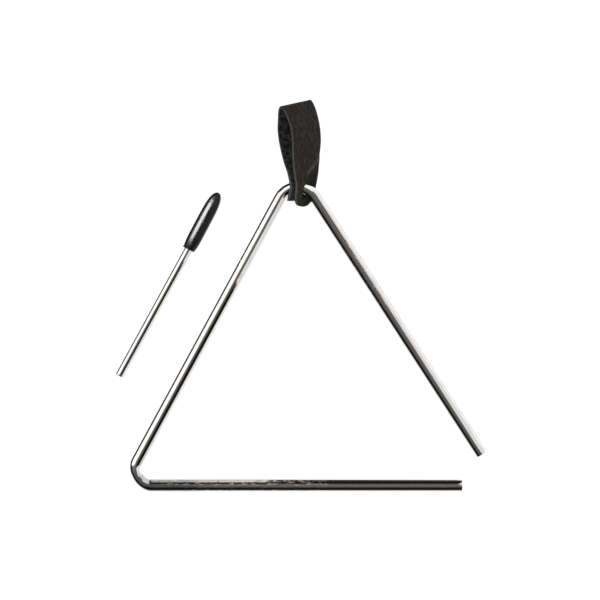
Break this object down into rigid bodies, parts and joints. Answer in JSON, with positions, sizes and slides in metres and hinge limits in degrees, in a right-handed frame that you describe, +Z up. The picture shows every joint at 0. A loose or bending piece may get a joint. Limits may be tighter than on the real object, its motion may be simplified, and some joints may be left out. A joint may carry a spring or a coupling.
{
  "type": "triangle instrument",
  "caption": "Percussion triangle of bent chromed steel rod, open at a corner, hung on a looped leather strap, with a steel beater that has a moulded grip.",
  "frame": {"origin": "on the table that the set lies on, under the middle of the box round the triangle and its beater", "axes": "+X along the base side towards its free end, +Y from the base side towards the leather loop, +Z up from the table"},
  "size_m": [0.2223, 0.2348, 0.0219],
  "materials": {
    "chrome_rod": "polished plating",
    "strap_leather": "semi-matte grained side, with a napped inside",
    "chrome_beater": "polished plating",
    "grip_vinyl": "glossy dipped vinyl"
  },
  "bodies": {
    "triangle": {"triangle_rod": "chrome_rod"},
    "strap": {"hanging_strap": "strap_leather"},
    "beater": {"beater_rod": "chrome_beater", "beater_grip": "grip_vinyl"}
  },
  "joints": [
    {"name": "strap_swing", "type": "hinge", "parent": "triangle", "child": "strap", "pos_m": [0.00021, 0.0646, 0.00874], "axis": [0.9816, -0.1907, -0.0056], "range_deg": [-45, 60]},
    {"name": "beater_lift", "type": "slide", "parent": "triangle", "child": "beater", "axis": [0, 0, 1], "range_m": [0, 0.1]}
  ]
}
